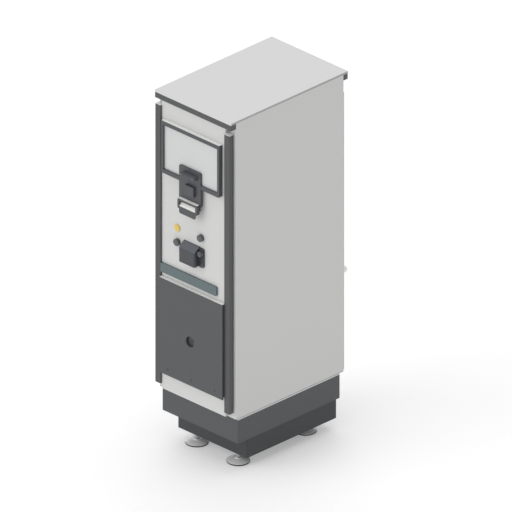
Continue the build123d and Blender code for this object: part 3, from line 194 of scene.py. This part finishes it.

# %% [markdown]
# ## Moulded plastics and rubber
# The bezel, the reader plate and the banknote mouth are injection moulded in a dark ABS blend. Their mould
# was spark eroded, which leaves a fine even grain of about 0.5 mm, drawn here at 1.5 mm so that it shows.
# The door seal is EPDM rubber, almost without shine. The coin cup is die-cast zinc under an anthracite
# lacquer, drawn a step darker than its neighbours, which paints the shade on its side faces, and the vault
# wears a hammered enamel. All are dielectrics with a noise bump, like the powder coat, so one short recipe
# serves them.

# %% Make the plastics, the rubber and the vault enamel
def grained(name, hex_colour, roughness, grain_mm, depth_mm, ior=1.5):
    """A dielectric with an even grain: noise at the grain's spacing, with several octaves for its sharpness."""
    material, tree, coords = start_material(name)
    grain = add(tree, "ShaderNodeTexNoise", {"Scale": 1 / (grain_mm * MM), "Detail": 5.0, "Roughness": 0.6},
                {"Vector": (coords, "Object")})
    bump = add(tree, "ShaderNodeBump", {"Strength": 0.6, "Distance": depth_mm * MM}, {"Height": (grain, "Fac")})
    skin = add(tree, "ShaderNodeBsdfPrincipled",
               {"Base Color": linear(hex_colour), "Roughness": roughness, "IOR": ior},
               {"Normal": (bump, "Normal")})
    return end_material(material, tree, skin)


finishes |= {
    "bezel_plastic": grained("ABS, spark-eroded anthracite", "#4B4C50", 0.45, 1.5, 0.03, 1.53),
    "device_plastic": grained("ABS, black", "#2A2B2D", 0.5, 1.5, 0.03, 1.53),
    # Cup a step darker than the other anthracite: partly painted shade on its side faces.
    "cup_metal": grained("Die-cast zinc, anthracite lacquer", "#404246", 0.38, 2.0, 0.03),
    "seal_rubber": grained("EPDM rubber", "#202020", 0.85, 1.0, 0.05, 1.52),
    "machine_grey": grained("Hammered enamel on the vault", "#8A8F95", 0.35, 5.0, 0.4),
}
print("finishes so far:", len(finishes))

# %% [markdown]
# ## Clear and glossy parts
# The screen has an anti-glare film over a pale unlit panel, which makes it nearly as light as the paint
# round it. The light bar is smoked acrylic in front of a row of lamps. Its ribs are 6 mm apart and soften
# the lamps. The mouth has a pale opal insert whose faint glow is painted light, lifting it as if lit. Buttons
# are polished caps. All are smooth polished plastics, so their gloss comes from a coat, and only the bar needs
# a pattern.

# %% Make the glossy parts
def polished(name, hex_colour, roughness, coat, glow=0.0, rib_mm=None):
    """A smooth plastic with a clear coat. Ribs, if any, are a sine along X whose height tilts the normal."""
    material, tree, coords = start_material(name)
    links = {}
    if rib_mm:
        ribs = add(tree, "ShaderNodeTexWave", {"Scale": math.pi / (10 * rib_mm * MM), "bands_direction": "X"},
                   {"Vector": (coords, "Object")})
        bump = add(tree, "ShaderNodeBump", {"Strength": 0.25, "Distance": 0.3 * MM}, {"Height": (ribs, "Fac")})
        links["Normal"] = (bump, "Normal")
    gloss = add(tree, "ShaderNodeBsdfPrincipled",
                {"Base Color": linear(hex_colour), "Roughness": roughness, "IOR": 1.49,
                 "Coat Weight": coat, "Coat Roughness": 0.08,
                 "Emission Color": linear(hex_colour), "Emission Strength": glow}, links)
    return end_material(material, tree, gloss)


finishes |= {
    "screen_glass": polished("Anti-glare film over a pale panel", "#D3D4D4", 0.35, 0.2),
    # The opal's glow is painted light, with no lamp behind it.
    "mouth_opal": polished("Opal acrylic insert", "#E6E6E2", 0.35, 0.3, glow=0.15),
    "smoked_acrylic": polished("Smoked acrylic, ribbed behind", "#536467", 0.25, 0.4, rib_mm=6.0),
    "button_yellow": polished("Polished cap, signal yellow", "#E3C75A", 0.3, 0.3),
    "button_dark": polished("Polished cap, anthracite", "#505256", 0.3, 0.3),
}
print("finishes so far:", len(finishes))

# %% [markdown]
# ## Receipt paper
# The roll is wound thermal paper. Its round side is smooth and white, and its flat ends show the edges of
# the turns as fine rings about the core. One turn is under 0.1 mm thick, far too fine to draw, so the rings
# are drawn 2 mm apart. A wave texture in its rings form makes them, centred on the roll by a Mapping node.

# %% Wind the paper
RING_MM = 2.0
roll_low, roll_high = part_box("paper_roll")
roll_centre = (Vector(roll_low) + Vector(roll_high)) / 2
paper, tree, coords = start_material("Thermal paper, wound")
centred = add(tree, "ShaderNodeMapping", {"Location": -roll_centre}, {"Vector": (coords, "Object")})
rings = add(tree, "ShaderNodeTexWave",
            {"wave_type": "RINGS", "rings_direction": "X", "Scale": math.pi / (10 * RING_MM * MM)},
            {"Vector": (centred, "Vector")})
FIRST_COLOUR, SECOND_COLOUR, MIXED_COLOUR = 6, 7, 2    # a Mix node's colour sockets, which share names
edges = add(tree, "ShaderNodeMix",
            {"data_type": "RGBA", FIRST_COLOUR: linear("#F2F1EC"), SECOND_COLOUR: linear("#E2E0D8")},
            {"Factor": (rings, "Fac")})
sheet = add(tree, "ShaderNodeBsdfPrincipled", {"Roughness": 0.75}, {"Base Color": (edges, MIXED_COLOUR)})
finishes["receipt_paper"] = end_material(paper, tree, sheet)
print("finishes:", len(finishes))

# %% [markdown]
# ## Paint the measured parts
# The record that came with the model says which finish each part takes. Going through that list, instead of
# writing the parts out again, keeps both in step, and a part without a finish would stop the lesson here.
# The card hood is the one exception: it takes a paler anthracite, a painted highlight for the light its top
# catches.

# %% Give each measured part its finish
# Paler anthracite on the card hood: painted highlight for its lit top.
finishes["hood_highlight_grey"] = grained("ABS, anthracite with painted highlight", "#5E6066", 0.4, 1.5, 0.03, 1.53)
for part in frame["record"]["subparts"]:
    mesh = frame["nodes"][part["node"]].data
    mesh.materials.clear()
    own_finish = "hood_highlight_grey" if part["node"] == "card_hood" else part["material_slot"]
    mesh.materials.append(finishes[own_finish])

# %% [markdown]
# ## Surfaces from arrays
# New pieces are grids of points. A grid's rows run along one parameter and its columns round the other, and
# four neighbours make a face, so a shape is only a formula for the points. Where a row shrinks to one point,
# as at the tip of a dome, merging the doubled points closes it. The normals are worked out after that.

# %% Turn a grid of points into a piece
SHARP = math.radians(35)    # edges that turn more than this stay crisp


def grid_piece(name, points, body, slot, closed_rows=False):
    """Joins a grid (rows, columns, 3) in mm into faces, with columns closed into rings, and rows if asked."""
    rows, columns, _ = points.shape
    row = np.arange(rows if closed_rows else rows - 1)[:, None]
    column = np.arange(columns)[None, :]
    next_row, next_column = (row + 1) % rows, (column + 1) % columns
    corners = [row * columns + column, row * columns + next_column,
               next_row * columns + next_column, next_row * columns + column]
    faces = np.stack([np.broadcast_to(c, (len(row), columns)) for c in corners], axis=-1).reshape(-1, 4)
    mesh = bpy.data.meshes.new(name)
    mesh.from_pydata((points.reshape(-1, 3) * MM).tolist(), [], faces.tolist())
    shape = bmesh.new()
    shape.from_mesh(mesh)
    bmesh.ops.remove_doubles(shape, verts=shape.verts, dist=0.001 * MM)
    bmesh.ops.recalc_face_normals(shape, faces=shape.faces)
    shape.to_mesh(mesh)
    shape.free()
    mesh.polygons.foreach_set("use_smooth", np.full(len(mesh.polygons), True))
    mesh.set_sharp_from_angle(angle=SHARP)
    mesh.materials.append(finishes[slot])
    piece = bpy.data.objects.new(name, mesh)
    bpy.context.scene.collection.objects.link(piece)
    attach(piece, body)
    return piece


print("grid helper is ready")

# %% [markdown]
# ## Rubber tyres on the levelling feet
# Each foot is a turned steel dome that stands on a moulded rubber ring, so that it neither slides nor rings.
# The ring is a round shape, and a round shape is a profile turned about an axis: each profile point is a
# radius and a height, and the angle goes once round. The ring's own profile closes on itself.

# %% Turn a profile about an axis
def turned(profile, centre, axis, steps=64):
    """Radius r, height h and angle a give centre + r (cos a · side + sin a · up) + h · axis, a from 0 to 2π."""
    axis = np.array(axis, float)
    side = np.cross(axis, [0.0, 0.0, 1.0] if abs(axis[2]) < 0.9 else [0.0, 1.0, 0.0])
    side /= np.linalg.norm(side)
    up = np.cross(axis, side)
    angle = np.linspace(0, 2 * np.pi, steps, endpoint=False)[None, :, None]
    radius, height = (np.array(profile, float)[:, k][:, None, None] for k in (0, 1))
    return np.array(centre) + radius * (np.cos(angle) * side + np.sin(angle) * up) + height * axis


PAD_RADIUS, TYRE_HEIGHT, TYRE_PROUD, TYRE_ROOT = 52.5, 6.0, 0.7, 2.0
ABOVE_FLOOR = 0.05
tyre_radius, tyre_root = PAD_RADIUS + TYRE_PROUD, PAD_RADIUS - TYRE_ROOT
tyre_profile = [(tyre_root, ABOVE_FLOOR), (PAD_RADIUS, ABOVE_FLOOR), (tyre_radius, 1.0),
                (tyre_radius, TYRE_HEIGHT - 1), (PAD_RADIUS, TYRE_HEIGHT), (tyre_root, TYRE_HEIGHT)]
foot_places = [tuple(v / MM for v in mount["pos_m"])
               for mount in frame["record"]["mounts"] if mount["name"].startswith("foot")]
for number, place in enumerate(foot_places):
    grid_piece(f"foot_tyre_{number}", turned(tyre_profile, place, (0, 0, 1)), "cabinet", "seal_rubber",
               closed_rows=True)
print("feet at", [[round(v) for v in place] for place in foot_places])

# %% [markdown]
# ## Domed faces on the buttons
# The caps are polished with a slightly raised face, so each shows one soft highlight. A shallow dome is part
# of a sphere: the height falls with the square of the radius. It seats on the flat face of the measured cap,
# a millimetre in from the edge.

# %% Dome the button faces
DOME_EDGE, DOME_RISE, COLLAR_RIM = 1.0, 1.6, 3.0
SEAT, SUNK = 0.05, -0.2     # the dome starts just above the cap's face, and its underside just below
across = np.linspace(0, 1, 9)
for button, slot in (("help_button", "button_yellow"), ("cancel_button", "button_dark"),
                     ("receipt_button", "button_dark"), ("coin_return_button", "button_dark")):
    low, high = (np.array(v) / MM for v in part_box(button))
    radius = (high[0] - low[0]) / 2 - COLLAR_RIM - DOME_EDGE
    centre = ((low[0] + high[0]) / 2, low[1], (low[2] + high[2]) / 2)
    underside = [(0, SUNK), (radius, SUNK)]
    face = [(radius * t, SEAT + DOME_RISE * (1 - t**2)) for t in across[::-1]]
    grid_piece(f"{button}_face", turned(underside + face, centre, (0, -1, 0), 48), button, slot)
    print(button, "face radius", round(radius, 1))

# %% [markdown]
# ## Rounded blocks
# Caps, strips and bands are flat blocks with rounded corners. A box with a Bevel modifier would do, but a
# superellipsoid is such a block in one formula: raising the cosines and sines of a sphere to a small power
# squares it up, and the power sets how tight the rounding is.

# %% Square up a sphere into rounded blocks
def rounded_block(low, high, plan_power=0.25, side_power=0.2, steps=48, layers=20):
    """x = a·C(v)·C(u), y = b·C(v)·S(u), z = c·S(v); C and S are the signed powers of cosine and sine."""
    low, high = np.array(low, float), np.array(high, float)
    half, middle = (high - low) / 2, (high + low) / 2
    turn = np.linspace(-np.pi, np.pi, steps, endpoint=False)[None, :]
    rise = np.linspace(-np.pi / 2, np.pi / 2, layers)[:, None]

    def power(value, exponent):
        return np.sign(value) * np.abs(value) ** exponent

    ring = power(np.cos(rise), side_power)
    ring[[0, -1]] = 0
    grid = np.stack([ring * power(np.cos(turn), plan_power), ring * power(np.sin(turn), plan_power),
                     np.broadcast_to(power(np.sin(rise), side_power), (layers, steps))], axis=-1)
    return middle + half * grid


print("a unit block has", rounded_block((-1, -1, -1), (1, 1, 1)).shape[:2], "points")

# %% [markdown]
# ## Painted highlights on the posts' tops
# The two posts are hollow aluminium extrusions, and pale grey caps on their upper ends paint the highlight
# that those tops catch. Each cap starts a hair below the end of its post, so that no gap shows between the two.

# %% Cap the posts
# Pale grey for caps and strips on dark parts: painted highlight on their lit top faces.
finishes["pale_top_highlight"] = grained("Pale grey, painted highlight", "#F2F2F0", 0.45, 1.5, 0.03, 1.53)
CAP_T, CAP_INSET, OVERLAP = 2.0, 0.3, 0.2
for post in ("hinge_stile", "lock_stile"):
    low, high = (np.array(v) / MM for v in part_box(post))
    top_highlight = rounded_block((low[0] + CAP_INSET, low[1] + CAP_INSET, high[2] - OVERLAP),
                        (high[0] - CAP_INSET, high[1] - CAP_INSET, high[2] + CAP_T))
    grid_piece(f"{post}_cap", top_highlight, "front_door", "pale_top_highlight")
    print(post, "cap is", round(high[0] - low[0] - 2 * CAP_INSET, 1), "mm wide")

# %% [markdown]
# ## Highlight strips on the bezel, the flap and the mouth
# Strips of the same pale grey lie on the upper edges of the screen's bezel and of the vault flap, and an
# opal strip lies on the banknote mouth: all paint the highlight that these top faces catch. They are the same
# block, drawn long and flat. The flap's strip rides on the flap, because it must go with it when it drops.

# %% Lay the highlight strips and the mouth's highlight
STRIP_INSET, STRIP_RISE, STRIP_PLAN_POWER = 0.6, 1.0, 0.08
for ledge, name in (("display_bezel", "bezel_top_highlight"), ("vault_flap", "flap_top_highlight")):
    low, high = (np.array(v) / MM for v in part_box(ledge))
    strip = rounded_block((low[0] + STRIP_INSET, low[1] + STRIP_INSET, high[2] - OVERLAP),
                          (high[0] - STRIP_INSET, high[1] - STRIP_INSET, high[2] + STRIP_RISE),
                          STRIP_PLAN_POWER)
    rider = "vault_flap" if ledge == "vault_flap" else "front_door"
    # Pale strips: painted highlights on the bezel's and the flap's top edges.
    grid_piece(name, strip, rider, "pale_top_highlight")
MOUTH_TOP_END, MOUTH_TOP_FRONT, MOUTH_TOP_BACK, MOUTH_TOP_RISE = 1.0, 0.6, 0.2, 1.2
low, high = (np.array(v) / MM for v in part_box("note_mouth"))
mouth_highlight = rounded_block((low[0] + MOUTH_TOP_END, low[1] + MOUTH_TOP_FRONT, high[2] - OVERLAP),
                      (high[0] - MOUTH_TOP_END, high[1] - MOUTH_TOP_BACK, high[2] + MOUTH_TOP_RISE))
# Opal strip on the mouth's top: painted highlight.
grid_piece("mouth_top_highlight", mouth_highlight, "front_door", "mouth_opal")
print("mouth highlight is", round(high[0] - low[0] - 2 * MOUTH_TOP_END), "mm long")

# %% [markdown]
# ## Painted shade on the roof's sides
# The roof plate is a sandwich of two steel skins, and a thin grey band on each of its long sides paints the
# shade that falls there. The band is only as tall as the plate, and reads as one darker line under the pale
# roof. It is the same rounded block, drawn long and thin.

# %% Paint shade on the roof's long sides
# Mid grey band on the roof's sides: painted shade.
finishes["roof_side_shade"] = metal("Grey band, painted shade", "#ABABAC", 0.45, 0.6, 3.0, (1, 0.05, 1), 0.3)
BAND_T, BAND_END, BAND_POWER = 0.8, 2.0, 0.03
low, high = (np.array(v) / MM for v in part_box("roof_panel"))
for side, name in ((-1, "roof_shade_left"), (1, "roof_shade_right")):
    face = side * high[0]
    band = rounded_block((face - BAND_T / 2, low[1] + BAND_END, low[2] + OVERLAP),
                         (face + BAND_T / 2, high[1] - BAND_END, high[2] - OVERLAP), BAND_POWER, BAND_POWER)
    grid_piece(name, band, "cabinet", "roof_side_shade")
print("bands along", round(high[1] - low[1]), "mm of roof")

# %% [markdown]
# ## Painted highlight on the coin cup's slope
# A thin sheet in a paler grey lies on the sloping top of the coin cup and paints the highlight that the
# slope catches from above. It is laid on the slope: straight lines from the lower front edge to the upper
# rear edge, offset outwards by its thickness. Its corners are the places where the slope meets the cup's ends.

# %% Lay the highlight sheet on the slope
# Paler grey sheet on the cup's slope: painted highlight.
finishes["slope_highlight"] = grained("Paler grey, painted slope highlight", "#62666C", 0.4, 2.0, 0.02)
low, high = (np.array(v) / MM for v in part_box("coin_cup"))
cup_width, slope_run, slope_rise, sheet_t, end_margin = 100.0, 34.0, 26.0, 0.5, 2.0
front_edge = np.array([low[1], high[2] - slope_rise])
rear_edge = front_edge + (slope_run, slope_rise)
outward = np.array([-slope_rise, slope_run]) / math.hypot(slope_rise, slope_run)
up_slope = np.array([slope_run, slope_rise]) / math.hypot(slope_rise, slope_run)
margin, sunk = 1.5, -0.2
foot, head = front_edge + margin * up_slope, rear_edge - margin * up_slope
section = np.array([foot + sunk * outward, foot + sheet_t * outward,
                    head + sheet_t * outward, head + sunk * outward])
left_end, right_end = low[0] + end_margin, low[0] + cup_width - end_margin
ends = np.array([left_end, left_end, right_end, right_end])
shrink = np.array([0.0, 1.0, 1.0, 0.0])     # each end is closed by shrinking the section to its middle
middle = section.mean(axis=0)
plate = np.stack([np.column_stack([np.full(4, x), middle + s * (section - middle)])
                  for x, s in zip(ends, shrink)])
grid_piece("cup_slope_highlight", plate, "front_door", "slope_highlight")
print("slope highlight rises", slope_rise, "mm over", slope_run, "mm")

# %% [markdown]
# ## The door seal
# A hollow rubber bulb is pressed onto the door's rim, and the closed door squeezes it flat against the
# cabinet. The bulb is one small oval carried round a rectangle with rounded corners. Carrying a profile
# along a path needs the path's outward direction at each point; the oval's width lies along it.

# %% Carry the seal's oval round the door
def round_rectangle(low, high, corner, steps=12):
    """Four quarter circles joined by straight runs: the points in two axes, and their outward vectors."""
    quarter = np.linspace(0, np.pi / 2, steps)
    angles = np.concatenate([quarter + k * np.pi / 2 for k in range(4)])
    outward = np.stack([np.cos(angles), np.sin(angles)], axis=-1)
    left, bottom, right, top = low[0] + corner, low[1] + corner, high[0] - corner, high[1] - corner
    centres = np.repeat([(right, top), (left, top), (left, bottom), (right, bottom)], steps, axis=0)
    return centres + corner * outward, outward


def carried(path, outward, depth, half_width, half_depth, steps=12):
    """A ring point at angle a is path + half_width·cos a·outward, at depth + half_depth·sin a along Y."""
    angle = np.linspace(0, 2 * np.pi, steps, endpoint=False)
    flat = path[:, None, :] + half_width * np.cos(angle)[None, :, None] * outward[:, None, :]
    deep = np.broadcast_to(depth + half_depth * np.sin(angle), flat.shape[:2])
    return np.stack([flat[..., 0], deep, flat[..., 1]], axis=-1)


BULB_WIDTH, SEAL_CORNER = 7.0, 12.0
low, high = (np.array(v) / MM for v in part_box("door_gasket"))
inset = BULB_WIDTH / 2
path, outward = round_rectangle(low[[0, 2]] + inset, high[[0, 2]] - inset, SEAL_CORNER)
bulb = carried(path, outward, (low[1] + high[1]) / 2, BULB_WIDTH / 2, (high[1] - low[1]) / 2)
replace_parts(grid_piece("door_seal_bulb", bulb, "front_door", "seal_rubber", closed_rows=True), "door_gasket")
print("seal length in mm:", round(float(np.linalg.norm(np.diff(path, axis=0), axis=1).sum())))

# %% [markdown]
# ## The shadow line at the joint
# The steel body is set on its base tray, and a thin dark rubber strip round the joint paints the shade in
# the gap as a fine dark line all round. The strip is a small oval again, carried round the body's outline, this
# time level.

# %% Lay the strip round the body
def carried_level(path, outward, height, half_width, half_height, steps=8):
    """A ring point at angle a is path + half_width·cos a·outward, at height + half_height·sin a."""
    ring = carried(path, outward, height, half_width, half_height, steps)
    return ring[..., [0, 2, 1]]


STRIP_HALF_WIDTH, STRIP_HALF_HEIGHT, STRIP_PROUD, BODY_CORNER = 1.2, 1.1, 0.4, 3.0
low, high = (np.array(v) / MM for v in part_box("side_panel_right"))
strip_inset = STRIP_HALF_WIDTH - STRIP_PROUD
edge = high[0] - strip_inset
path, outward = round_rectangle((-edge, low[1] + strip_inset), (edge, high[1] - strip_inset), BODY_CORNER)
strip = carried_level(path, outward, low[2] + STRIP_HALF_HEIGHT, STRIP_HALF_WIDTH, STRIP_HALF_HEIGHT)
# Dark strip round the body's foot: painted shadow in the joint's gap.
grid_piece("body_joint_shadow_line", strip, "cabinet", "seal_rubber", closed_rows=True)
print("joint shadow line at height", round(low[2] + STRIP_HALF_HEIGHT, 1))

# %% [markdown]
# ## A fluted grip on the rear knob
# The knob is gripped with wet gloves, so flutes are milled round it. A flute is a ripple of the radius as
# the angle goes round, and the ripple fades out towards the rounded front so that the face stays smooth.

# %% Flute the knob
FLUTES, FLUTE_DEPTH, GRIP_PROUD = 18, 0.5, 0.8
low, high = (np.array(v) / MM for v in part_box("rear_knob"))
knob_radius = (high[0] - low[0]) / 2
knob_place = ((low[0] + high[0]) / 2, high[1], high[2] - knob_radius)
along = np.array([-18.0, -17.0, -3.0, -1.5, -0.5, 0.0, 0.1, 0.1])
size = np.array([0.0, 1.0, 1.0, 0.99, 0.96, 0.9, 0.5, 0.0]) * (knob_radius + GRIP_PROUD)
ripple = np.array([0, 1, 1, 1, 0.6, 0, 0, 0])
angle = np.linspace(0, 2 * np.pi, 180, endpoint=False)
radius = size[:, None] - FLUTE_DEPTH * ripple[:, None] * (1 - np.cos(FLUTES * angle))[None, :]
lengthways = np.broadcast_to(knob_place[1] + along[:, None], radius.shape)
grip = np.stack([knob_place[0] + radius * np.cos(angle), lengthways,
                 knob_place[2] + radius * np.sin(angle)], axis=-1)
grid_piece("rear_knob_grip", grip, "rear_knob", "bright_steel")
print("knob radius", round(knob_radius, 1), "at", [round(v, 1) for v in knob_place])

# %% [markdown]
# ## The studio floor
# The machine stands on white paper, as in a catalogue. The paper glows a little, which lifts it to the
# white of the room round it, so that only the machine's soft shadow is left on it. It lies half a
# millimetre below the feet, because two surfaces at one height would flicker.

# %% Lay the floor
FLOOR_HALF, FLOOR_DROP, FLOOR_GLOW = 30.0, 0.0005, 0.3
corners = [(x * FLOOR_HALF, y * FLOOR_HALF, -FLOOR_DROP) for x, y in ((-1, -1), (1, -1), (1, 1), (-1, 1))]
floor_mesh = bpy.data.meshes.new("studio_floor")
floor_mesh.from_pydata(corners, [], [(0, 1, 2, 3)])
floor = bpy.data.objects.new("studio_floor", floor_mesh)
bpy.context.scene.collection.objects.link(floor)
pale, tree, _ = start_material("Studio paper, white")
roll = add(tree, "ShaderNodeBsdfPrincipled", {"Base Color": linear("#E8E8E8"), "Roughness": 0.9,
                                              "Specular IOR Level": 0.1, "Emission Color": linear("#FFFFFF"),
                                              "Emission Strength": FLOOR_GLOW})
floor_mesh.materials.append(end_material(pale, tree, roll))
floor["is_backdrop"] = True
print("floor is", 2 * FLOOR_HALF, "m wide")

# %% [markdown]
# ## The lamps
# Three far lamps shine with parallel light, so the floor is lit evenly up to its edge: one overhead for the
# roof, one in front and to the left for the front, and a weaker one from the rear left, so that the back is
# not lost. Each is wide in the sky, as a big softbox is, which makes the shadows soft. The side away from
# them is lit by the bright room and the floor alone, so it is a step darker.

# %% Hang the lamps
def lamp(name, direction, strength, softness_deg):
    """A far lamp that shines from a direction with parallel light, as wide in the sky as its softness."""
    light = bpy.data.lights.new(name, "SUN")
    light.energy, light.angle = strength, math.radians(softness_deg)
    holder = bpy.data.objects.new(name, light)
    holder.rotation_euler = Vector(direction).to_track_quat("Z", "Y").to_euler()
    holder.location = Vector(direction) * 4
    bpy.context.scene.collection.objects.link(holder)
    return holder


lamp("front_key", (-0.35, -0.8, 0.5), 0.85, 50)
lamp("roof_light", (0.0, 0.0, 1.0), 0.85, 60)
lamp("rear_fill", (-0.63, 0.63, 0.454), 0.6, 50)
world = bpy.data.worlds.new("bright_room")
world.use_nodes = True
room = world.node_tree.nodes["Background"]
room.inputs["Color"].default_value = (1.0, 1.0, 1.0, 1.0)
room.inputs["Strength"].default_value = 0.42
bpy.context.scene.world = world
bpy.context.scene.view_settings.view_transform = "Standard"

# %% [markdown]
# ## The camera
# A parallel view shows a machine without perspective, as a technical picture does. The camera stands at the
# front right corner, 45 degrees round and 27 degrees up, and its width in metres sets the size in the frame.

# %% Set the camera
AZIMUTH, ELEVATION = math.radians(45.0), math.radians(26.99)
AIM, DISTANCE, VIEW_WIDTH = Vector((0.0, 0.0436, 0.889)), 8.0, 2.278
back = Vector((math.sin(AZIMUTH) * math.cos(ELEVATION), -math.cos(AZIMUTH) * math.cos(ELEVATION),
               math.sin(ELEVATION)))
camera_data = bpy.data.cameras.new("corner_view")
camera_data.type, camera_data.ortho_scale = "ORTHO", VIEW_WIDTH
camera = bpy.data.objects.new("corner_view", camera_data)
camera.location = AIM + back * DISTANCE
camera.rotation_euler = (-back).to_track_quat("-Z", "Y").to_euler()
bpy.context.scene.collection.objects.link(camera)
bpy.context.scene.camera = camera
print("camera at", [round(v, 2) for v in camera.location])

# %% [markdown]
# ## The dressed machine's box
# The dressed machine must keep the measured size, so its box is measured here, in metres, without the floor.

# %% Measure the dressed machine's box
low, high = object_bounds()
